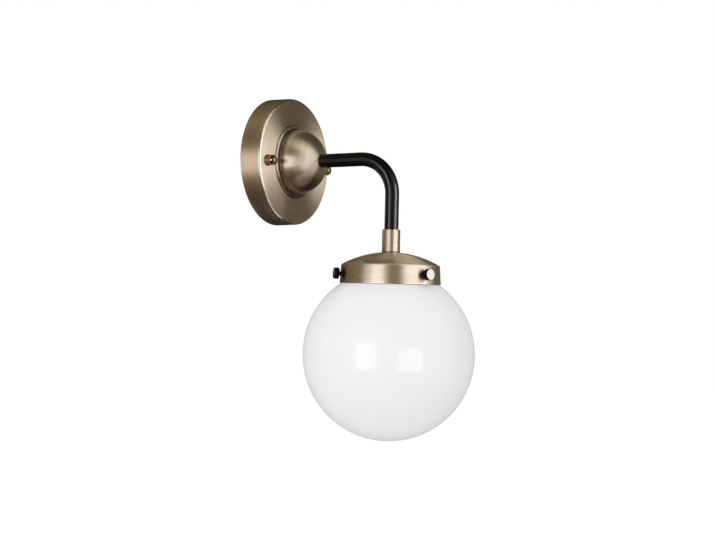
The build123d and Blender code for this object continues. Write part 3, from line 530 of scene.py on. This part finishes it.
# %% [markdown]
# ## Painted shade in creases, wear and painted highlights on edges
# On old brass, dirt stays in the creases and hands polish the edges. Here the creases also get painted shade,
# and the edges a painted highlight. On a turned piece both are rings. They could be painted by hand on an
# unwrapped surface, but a ring has a radius and a height, so a mask can be worked out from these two and a
# width. This is a group too, because every spun piece uses it.


# %% Ring mask group
def ring_mask_group():
    """Node group: 1 on a ring round the Z axis, falling to 0 at the given width."""
    group, given = new_group(
        "ring mask", {"Place": VECTOR, "Radius": VALUE, "Height": VALUE, "Width": VALUE}, {"Mask": VALUE}
    )
    _, radius, height = round_axis(group, given["Place"])
    outward = reckon(group, "SUBTRACT", radius, given["Radius"])
    upward = reckon(group, "SUBTRACT", height, given["Height"])
    away = add_node(group, "ShaderNodeCombineXYZ", {"X": outward, "Y": upward}).outputs["Vector"]
    distance = add_node(group, "ShaderNodeVectorMath", {0: away}, operation="LENGTH").outputs["Value"]
    mask = spread(group, distance, low=1.0, high=0.0, end=given["Width"], smooth=True)
    add_node(group, "NodeGroupOutput", {"Mask": mask})
    return group


ring_mask = ring_mask_group()
Ring = namedtuple("Ring", "radius height width tint polish", defaults=(None, None))


def lay_rings(tree, place, rings, tone, gloss):
    """Lays rings over a tone and a roughness: a ring has a tint, a polish or both."""
    for ring in rings:
        size = {"Radius": ring.radius, "Height": ring.height, "Width": ring.width}
        mask = place_group(tree, ring_mask, {"Place": place, **size})["Mask"]
        if ring.tint:
            tone = mix_colours(tree, mask, tone, ring.tint)
        if ring.polish:
            gloss = mix_values(tree, mask, gloss, ring.polish)
    return tone, gloss


print("group:", ring_mask.name)

# %% [markdown]
# ## Spun brass
# The lines of the lathe spread a reflection across themselves and keep it sharp along themselves, which
# gives the fan of light on the plate. A bump alone could not do that for lines this fine. The shader does
# it with its anisotropy, along a tangent that runs round the axis. The tone wanders between two brasses
# with the lines and a cloudy noise, and the roughness follows the hairlines.

# %% Spun brass finish
BRASS_LIGHT = (0.97, 0.825, 0.685, 1)
BRASS_DEEP = (0.80, 0.66, 0.53, 1)
BRASS_RIM = (0.92, 0.735, 0.555, 1)
# worn edges, lightened further as a painted highlight
BRASS_WEAR_AND_HIGHLIGHT = (0.98, 0.90, 0.78, 1)
# painted shade in creases, with a little dirt
BRASS_CREASE_SHADE_AND_DIRT = (0.10, 0.07, 0.045, 1)
# painted shade for the underside
BRASS_UNDERSIDE_SHADE = (0.34, 0.22, 0.145, 1)
WORN_POLISH = 0.22
LATHE_LINES = {"Bands per metre": 420.0, "Hairlines per metre": 2600.0, "Length": 2.0}
LINE_DEPTH = 0.00006
CLOUD_SCALE = 38.0
CLOUD_DETAIL = 4.0
TONE_START, TONE_END = 0.62, 1.25  # lines plus cloud, where the tone is deep and where it is light
HAIRLINE_START, HAIRLINE_END = 0.25, 0.75
GRAIN = 0.06  # how far the hairlines move the roughness either way


def on_axis(tree, place, centre, axis):
    """A place seen from a centre and turned so that the given axis, Y or Z, becomes Z."""
    tilt = (math.radians(90), 0, 0) if axis == "Y" else (0, 0, 0)
    view = {"Vector": place, "Location": centre, "Rotation": tilt}
    return add_node(tree, "ShaderNodeMapping", view, vector_type="TEXTURE").outputs["Vector"]


def paint_shade_below(tree, place, tone, clean_height, dark_height):
    """Painted shade: darkens a tone downwards between two heights."""
    height = add_node(tree, "ShaderNodeSeparateXYZ", {"Vector": place}).outputs["Z"]
    share = spread(tree, height, start=clean_height, end=dark_height, smooth=True)
    return mix_colours(tree, share, tone, BRASS_UNDERSIDE_SHADE)


def lathe_relief(tree, lines, strength, dish):
    """The hairlines as a fine bump, on a face that leans by the slope of a shallow dish."""
    relief = {"Height": lines["Hairlines"], "Strength": strength, "Distance": LINE_DEPTH}
    normal = add_node(tree, "ShaderNodeBump", relief).outputs["Normal"]
    if dish:
        fall = {"Height": reckon(tree, "MULTIPLY", lines["Radius"], -dish), "Distance": 1.0, "Normal": normal}
        normal = add_node(tree, "ShaderNodeBump", fall).outputs["Normal"]
    return normal


def spun_brass(name, axis, centre, roughness, anisotropy, line_strength, rings, dish=0.0, underside_shade=None):
    """Satin antique brass spun round an axis through a centre, with rings of painted shade and dirt, and of
    wear and painted highlight.
    """
    tree, shader, material = new_finish(
        name, metallic=1.0, anisotropic=anisotropy, anisotropic_rotation=0.25,
        coat_weight=0.12, coat_roughness=0.22,
    )
    place = object_place(tree)
    turned_place = on_axis(tree, place, centre, axis)
    lathe = place_group(tree, spun_lines, {"Place": turned_place, **LATHE_LINES})
    cloudy = reckon(tree, "ADD", lathe["Bands"], noise(tree, place, CLOUD_SCALE, CLOUD_DETAIL))
    share = spread(tree, cloudy, start=TONE_START, end=TONE_END)
    tone = mix_colours(tree, share, BRASS_DEEP, BRASS_LIGHT)
    gloss = spread(
        tree, lathe["Hairlines"], roughness - GRAIN, roughness + GRAIN, HAIRLINE_START, HAIRLINE_END
    )
    # the rings paint shade into creases and highlights onto worn edges
    tone, gloss = lay_rings(tree, turned_place, rings, tone, gloss)
    if underside_shade:
        # painted shade that darkens the piece towards the bottom
        tone = paint_shade_below(tree, place, tone, *underside_shade)
    tangent = add_node(tree, "ShaderNodeTangent", direction_type="RADIAL", axis=axis).outputs["Tangent"]
    normal = lathe_relief(tree, lathe, line_strength, dish)
    feed(tree, shader, base_color=tone, roughness=gloss, normal=normal, tangent=tangent)
    return material


print("spun brass finish ready")

# %% [markdown]
# ## The wall plate
# The plate is a shallow pan. Its front is brushed dull, its side is browner and smoother, its front edge is
# worn and carries a painted highlight, and painted shade with some dirt sits round the foot of the dome. Spun
# sheet is never quite flat, and its faint dish bends the fan of light. The dish could be modelled, but it is
# only a lean of the surface, so it stays in the shading.

# %% Plate brass
WALL_CENTRE = (0, 0, 0)  # the middle of the plate's back
dress(spun_brass(
    "plate brass", "Y", WALL_CENTRE, roughness=0.50, anisotropy=0.93, line_strength=0.12, dish=0.11,
    rings=[
        Ring(radius=0.0575, height=0.0090, width=0.0180, tint=BRASS_RIM, polish=0.34),  # side
        # painted shade with some dirt round the dome's foot
        Ring(radius=0.0330, height=0.0206, width=0.0013, tint=BRASS_CREASE_SHADE_AND_DIRT),  # round the dome's foot
        # worn front edge with a painted highlight
        Ring(radius=0.0569, height=0.0198, width=0.0024, tint=BRASS_WEAR_AND_HIGHLIGHT, polish=WORN_POLISH),  # front edge
    ],
), "wall_plate")

# %% [markdown]
# ## The dome
# The dome covers the arm's fixing in the middle of the plate. It is smoother than the plate, has painted
# shade with some dirt in the groove above its foot ring, wear and a painted highlight on the ring itself, and
# painted shade that darkens it towards the bottom. A second material could cover the underside, but one mask
# by height makes the soft change.

# %% Dome brass
# painted shade darkens the dome's underside between these heights
DOME_UNDERSIDE_SHADE = (-0.009, -0.022)  # heights where it starts and is full
dress(spun_brass(
    "dome brass", "Y", WALL_CENTRE, roughness=0.36, anisotropy=0.8, line_strength=0.10, underside_shade=DOME_UNDERSIDE_SHADE,
    rings=[
        # painted shade with some dirt in the groove and at its foot
        Ring(radius=0.0285, height=0.0245, width=0.0050, tint=BRASS_CREASE_SHADE_AND_DIRT),  # groove
        Ring(radius=0.0298, height=0.0221, width=0.0010, tint=BRASS_CREASE_SHADE_AND_DIRT),  # foot of the groove
        # worn foot ring with a painted highlight
        Ring(radius=0.0325, height=0.0218, width=0.0014, tint=BRASS_WEAR_AND_HIGHLIGHT, polish=WORN_POLISH),  # foot ring
    ],
), "dome_cover")

# %% [markdown]
# ## Gallery and collar
# The gallery is the spun cup over the globe, and the collar joins it to the arm. Both were turned round the
# lamp's own upright axis. Its place could be typed in, but read from the middle of the globe it stays right
# when the arm gets longer. The cup is duller on its crown, and its shoulder and its lower edge are worn and
# carry painted highlights. Painted shade with some dirt fills the crease where the two meet.

# %% Gallery and collar brass
LAMP_AXIS = Vector((*middle_of("globe").xy, 0))
dress(spun_brass(
    "gallery brass", "Z", LAMP_AXIS, roughness=0.34, anisotropy=0.85, line_strength=0.12,
    rings=[
        Ring(radius=0.0270, height=-0.0860, width=0.0190, polish=0.45),  # crown
        # painted shade with some dirt under the collar
        Ring(radius=0.0080, height=-0.0830, width=0.0018, tint=BRASS_CREASE_SHADE_AND_DIRT),  # under the collar
        # shoulder and lower edge: wear with painted highlights
        Ring(radius=0.0428, height=-0.0943, width=0.0016, tint=BRASS_WEAR_AND_HIGHLIGHT, polish=0.50),  # shoulder
        Ring(radius=0.0442, height=-0.1104, width=0.0010, tint=BRASS_WEAR_AND_HIGHLIGHT, polish=WORN_POLISH),  # lower edge
    ],
), "gallery")
dress(spun_brass(
    "collar brass", "Z", LAMP_AXIS, roughness=0.34, anisotropy=0.7, line_strength=0.10,
    rings=[
        # painted shade with some dirt at the collar's foot
        Ring(radius=0.0080, height=-0.0830, width=0.0016, tint=BRASS_CREASE_SHADE_AND_DIRT),  # foot
        # worn upper edge with a painted highlight
        Ring(radius=0.0078, height=-0.0631, width=0.0007, tint=BRASS_WEAR_AND_HIGHLIGHT, polish=WORN_POLISH),  # upper edge
    ],
), "collar")

# %% [markdown]
# ## Ball nuts and their washers
# The two ball nuts that hold the plate are turned and polished rather than brushed, so they are darker and
# more mirror-like, with a coppery cast where the lacquer is thick. They could share the spun brass, but its
# anisotropy would smear the small highlight that makes them look round. They keep only its lines, set
# closer.

# %% Polished brass
NUT_DEEP = (0.26, 0.165, 0.09, 1)
NUT_LIGHT = (0.46, 0.32, 0.19, 1)
NUT_ROUGHNESS = (0.08, 0.20)
NUT_LINES = {**LATHE_LINES, "Bands per metre": 900.0}


def polished_brass(name, centre):
    """Turned and polished brass, round an axis that stands out from the wall."""
    tree, shader, material = new_finish(name, metallic=1.0, coat_weight=0.2, coat_roughness=0.08)
    turned_place = on_axis(tree, object_place(tree), centre, "Y")
    lathe = place_group(tree, spun_lines, {"Place": turned_place, **NUT_LINES})
    tone = mix_colours(tree, lathe["Bands"], NUT_DEEP, NUT_LIGHT)
    gloss = spread(tree, lathe["Hairlines"], *NUT_ROUGHNESS)
    feed(tree, shader, base_color=tone, roughness=gloss)
    return material


for side in ("left", "right"):
    nut = middle_of("ball_nut_" + side)
    nut_brass = polished_brass("nut brass " + side, (nut.x, 0, nut.z))
    dress(nut_brass, "ball_nut_" + side, "nut_washer_" + side)

# %% [markdown]
# ## Clouded tones
# No real surface has one even colour: paint, glass, plating and plastic all wander a little between two
# tones and two degrees of gloss. Each finish could have its own nodes for that. Because nearly all of the
# rest of the lamp needs it, it is a group: one noise mixes both, and also comes out as a grain for a fine
# relief.


# %% Clouded tone group
def clouded_tone_group():
    """Node group: a tone and a roughness that wander with a noise, and the noise itself as a grain."""
    group, given = new_group(
        "clouded tone",
        {"Place": VECTOR, "Scale": VALUE, "Detail": VALUE, "First tone": COLOUR, "Second tone": COLOUR,
         "First roughness": VALUE, "Second roughness": VALUE},
        {"Tone": COLOUR, "Roughness": VALUE, "Grain": VALUE},
    )
    grain = noise(group, given["Place"], given["Scale"], given["Detail"])
    tone = mix_colours(group, grain, given["First tone"], given["Second tone"])
    roughness = spread(group, grain, given["First roughness"], given["Second roughness"])
    add_node(group, "NodeGroupOutput", {"Tone": tone, "Roughness": roughness, "Grain": grain})
    return group


clouded_tone = clouded_tone_group()


def clouded(tree, place, tones, scale, detail, roughness=(0.0, 1.0)):
    """The clouded tone with a finish's own pair of colours and pair of roughnesses."""
    (first, second), (smooth, rough) = tones, roughness
    return place_group(tree, clouded_tone, {
        "Place": place, "Scale": scale, "Detail": detail, "First tone": (*first, 1),
        "Second tone": (*second, 1), "First roughness": smooth, "Second roughness": rough,
    })


def fine_relief(tree, grain, strength, depth):
    """A grain as a bump, with its depth in metres."""
    relief = {"Height": grain, "Strength": strength, "Distance": depth}
    return add_node(tree, "ShaderNodeBump", relief).outputs["Normal"]


print("group:", clouded_tone.name)

# %% [markdown]
# ## The black arm
# The arm is a bent steel tube in satin black paint. Paint flows a little before it dries, so its surface
# has a faint orange-peel relief, and its gloss changes slightly along the tube. The peel could be a
# displaced mesh, but it is far finer than the mesh, and a bump is enough.

# %% Satin black paint
ARM_TONES = (0.0022, 0.0016, 0.0012), (0.0042, 0.0032, 0.0026)
arm_tree, arm_shader, arm_black = new_finish("satin black paint", specular_ior_level=0.3)
arm_place = object_place(arm_tree)
arm_paint = clouded(arm_tree, arm_place, ARM_TONES, scale=60.0, detail=3.0, roughness=(0.18, 0.26))
peel = noise(arm_tree, arm_place, scale=1400.0, detail=2.0)
feed(
    arm_tree, arm_shader, base_color=arm_paint["Tone"], roughness=arm_paint["Roughness"],
    normal=fine_relief(arm_tree, peel, strength=0.02, depth=0.0001),
)
dress(arm_black, "arm_tube")

# %% [markdown]
# ## The opal globe
# Opal glass is clear glass with a milky layer inside. Light enters it, scatters and leaves again nearby, so
# it looks soft and white, while its skin still mirrors the softboxes sharply. True glass with a cloudy
# filling would be slow and noisy to render. Subsurface scattering gives the softness, and a thin clear coat
# the gloss. A slow noise stands for glass that was blown a little thicker here and there.

# %% Opal glass
OPAL_TONES = (0.925, 0.925, 0.927), (0.945, 0.945, 0.947)
opal_tree, opal_shader, opal = new_finish(
    "opal glass", roughness=0.3, ior=1.5, specular_ior_level=0.0, subsurface_weight=0.35,
    subsurface_scale=0.004, subsurface_radius=(1.0, 0.97, 0.94), coat_weight=0.4, coat_roughness=0.02,
)
blown = clouded(opal_tree, object_place(opal_tree), OPAL_TONES, scale=22.0, detail=2.0)
feed(
    opal_tree, opal_shader, base_color=blown["Tone"],
    normal=fine_relief(opal_tree, blown["Grain"], strength=0.05, depth=0.0004),
)
dress(opal, "globe")

# %% [markdown]
# ## The thumb screws
# Each thumb screw has a blackened knurled rim and a bright turned end face. Two materials could be given to
# chosen faces, but which part a point belongs to also follows from its height along the screw's own axis,
# and the joint of that screw gives this axis. So one finish changes from dark to bright just before the
# end.

# %% Thumb screw finish
SCREW_TONES = (0.006, 0.005, 0.004), (0.028, 0.023, 0.018)
SCREW_FACE = (0.97, 0.92, 0.83, 1)
SCREW_FACE_ROUGHNESS = 0.18
FACE_STARTS, FACE_FULL = 0.00025, 0.00005  # metres before the end of the screw


def thumb_screw_finish(name, joint):
    """Dark knurled sides, and a bright face at the far end of the joint's axis."""
    axis = Vector(joint["axis"]).normalized()
    start = Vector(joint["pos_m"])
    reach = max((v.co - start).dot(axis) for v in nodes[name].data.vertices)
    tree, shader, material = new_finish(name + " finish", metallic=1.0)
    place = object_place(tree)
    offset = add_node(tree, "ShaderNodeVectorMath", {0: place, 1: start}, operation="SUBTRACT")
    along = add_node(
        tree, "ShaderNodeVectorMath", {0: offset.outputs["Vector"], 1: axis}, operation="DOT_PRODUCT"
    ).outputs["Value"]
    face = spread(tree, along, start=reach - FACE_STARTS, end=reach - FACE_FULL)
    knurl = clouded(tree, place, SCREW_TONES, scale=900.0, detail=3.0, roughness=(0.28, 0.46))
    feed(
        tree, shader, base_color=mix_colours(tree, face, knurl["Tone"], SCREW_FACE),
        roughness=mix_values(tree, face, knurl["Roughness"], SCREW_FACE_ROUGHNESS),
    )
    print(name, "reach in mm:", round(reach * 1000, 2))
    return material


for joint in frame["joints"]:
    if joint["name"].startswith("screw_turn_"):
        screw = "thumb_screw_" + joint["name"].removeprefix("screw_turn_")
        dress(thumb_screw_finish(screw, joint), screw)

# %% [markdown]
# ## Plated steel behind the plate
# Behind the plate and inside the globe are the pieces that make the lamp work. They show from the back and
# when the lamp is taken apart, so each has its own finish instead of one plain grey. The bracket, the nuts
# and the washers are zinc plated steel. One helper makes such a finish from a clouded tone and its grain.

# %% Zinc plate
HIDDEN_DETAIL = 4.0
HIDDEN_RELIEF_DEPTH = 0.0001
ZINC = {"tones": ((0.46, 0.47, 0.48), (0.66, 0.67, 0.68)), "roughness": (0.26, 0.42), "scale": 260}


def clouded_finish(name, tones, roughness, scale, relief=0.0, **plain_values):
    """A finish of one clouded tone, with its grain as a fine relief if it has one."""
    tree, shader, material = new_finish(name, **plain_values)
    cloud = clouded(tree, object_place(tree), tones, scale, HIDDEN_DETAIL, roughness)
    feed(tree, shader, base_color=cloud["Tone"], roughness=cloud["Roughness"])
    if relief:
        feed(tree, shader, normal=fine_relief(tree, cloud["Grain"], relief, HIDDEN_RELIEF_DEPTH))
    return material


dress(
    clouded_finish("zinc plate", **ZINC, relief=0.05, metallic=1.0),
    "wall_bracket", "stud_lock_nuts", "block_screw", "arm_washer", "arm_nut", "gallery_washer", "gallery_nut",
)

# %% [markdown]
# ## Threads
# The studs and the two threaded tubes are zinc plated too. Their solids have plain round sides, because a
# modelled thread would cost many faces and no joint needs it. Ridges across the axis, as a bump from a
# wave, show the thread where it can be seen. The wave is a group, and each piece turns it to its own axis.

# %% Threaded zinc
THREAD_PITCH = 0.0008
THREAD_STRENGTH = 0.8
THREAD_DEPTH = 0.0003
WAVE_FACTOR = 20  # the wave texture multiplies a place by its scale and by this


def thread_ridges_group():
    """Node group: ridges across the Z axis, one for each pitch."""
    group, given = new_group("thread ridges", {"Place": VECTOR, "Pitch": VALUE}, {"Ridges": VALUE})
    scale = reckon(group, "DIVIDE", math.tau / WAVE_FACTOR, given["Pitch"])
    wave = {"Vector": given["Place"], "Scale": scale}
    ridges = add_node(group, "ShaderNodeTexWave", wave, bands_direction="Z").outputs["Fac"]
    add_node(group, "NodeGroupOutput", {"Ridges": ridges})
    return group


thread_ridges = thread_ridges_group()


def threaded_zinc(name, axis):
    """Zinc plated steel with the ridges of a thread across the given axis."""
    tree, shader, material = new_finish(name, metallic=1.0)
    place = object_place(tree)
    cloud = clouded(tree, place, **ZINC, detail=HIDDEN_DETAIL)
    turned_place = on_axis(tree, place, WALL_CENTRE, axis)
    ridges = place_group(tree, thread_ridges, {"Place": turned_place, "Pitch": THREAD_PITCH})["Ridges"]
    feed(
        tree, shader, base_color=cloud["Tone"], roughness=cloud["Roughness"],
        normal=fine_relief(tree, ridges, THREAD_STRENGTH, THREAD_DEPTH),
    )
    return material


for thread, axis in (("plate_studs", "Y"), ("arm_nipple", "Y"), ("lamp_nipple", "Z")):
    dress(threaded_zinc(thread.replace("_", " ") + " zinc", axis), thread)

# %% [markdown]
# ## Bright brass
# What carries current or takes a thread is bare brass without lacquer: the terminals, the earth screw, the
# bushes in the gallery and the lampholder's metal. It is yellower and cleaner than the antique brass
# outside. That finish could be reused here, but none of these pieces is brushed or worn.

# %% Bare brass
dress(
    clouded_finish(
        "bright brass", ((0.62, 0.42, 0.15), (0.78, 0.57, 0.26)), roughness=(0.18, 0.32), scale=400,
        relief=0.04, metallic=1.0,
    ),
    "terminal_sleeves", "terminal_screws", "earth_screw", "earth_washer", "screw_bushes", "contact_posts",
    "contact_screws", "holder_contacts", "holder_shell",
)

# %% [markdown]
# ## Wires and mouldings
# The terminal block and the bush are white mouldings with a matt skin. The two wires have brown and blue
# insulation, smoother than the mouldings, and bare copper ends. The screws end in soft nylon tips that
# can't scratch the globe. Plain colours would do from afar, but close by the grain tells one plastic from
# another.

# %% Plastics and copper
INSULATION = {"roughness": (0.34, 0.46), "scale": 500, "relief": 0.05}

dress(clouded_finish(
    "white moulding", ((0.74, 0.74, 0.71), (0.82, 0.82, 0.79)), roughness=(0.38, 0.50), scale=700,
    relief=0.08,
), "terminal_block", "nipple_bush")
dress(clouded_finish(
    "brown insulation", ((0.13, 0.05, 0.02), (0.19, 0.07, 0.03)), **INSULATION,
), "live_wire")
dress(clouded_finish(
    "blue insulation", ((0.02, 0.10, 0.36), (0.04, 0.14, 0.46)), **INSULATION,
), "neutral_wire")
dress(clouded_finish(
    "bare copper", ((0.62, 0.26, 0.13), (0.80, 0.40, 0.22)), roughness=(0.22, 0.36), scale=800, relief=0.05,
    metallic=1.0,
), "stripped_wire_ends")
dress(clouded_finish(
    "nylon tip", ((0.72, 0.71, 0.67), (0.79, 0.78, 0.74)), roughness=(0.36, 0.48), scale=700, relief=0.05,
), "screw_tip_front", "screw_tip_left", "screw_tip_right")

# %% [markdown]
# ## Lampholder and bulb
# The lampholder has a black plastic case round a glazed ceramic insert. The bulb has a pale metal cap, a
# ring of black glass round its contact, and a frosted envelope. Frosted glass could be left fully clear and
# rough, but a part of it is made matt white, so that it keeps its shape behind the opal globe.

# %% Holder and bulb
dress(clouded_finish(
    "holder plastic", ((0.014, 0.014, 0.014), (0.026, 0.026, 0.025)), roughness=(0.34, 0.50), scale=900,
    relief=0.10,
), "holder_cap", "holder_body")
dress(clouded_finish(
    "glazed ceramic", ((0.80, 0.79, 0.75), (0.87, 0.86, 0.82)), roughness=(0.12, 0.24), scale=120,
    relief=0.03,
), "holder_insert")
dress(clouded_finish(
    "bulb metal", ((0.62, 0.63, 0.64), (0.76, 0.77, 0.78)), roughness=(0.22, 0.36), scale=300, relief=0.04,
    metallic=1.0,
), "bulb_cap", "bulb_contact")
dress(clouded_finish(
    "black glass", ((0.008, 0.008, 0.009), (0.014, 0.014, 0.015)), roughness=(0.06, 0.14), scale=200,
), "bulb_insulator")
dress(clouded_finish(
    "frosted glass", ((0.90, 0.90, 0.89), (0.94, 0.94, 0.93)), roughness=(0.42, 0.56), scale=1200,
    relief=0.06, transmission_weight=0.6, ior=1.5,
), "bulb_envelope")
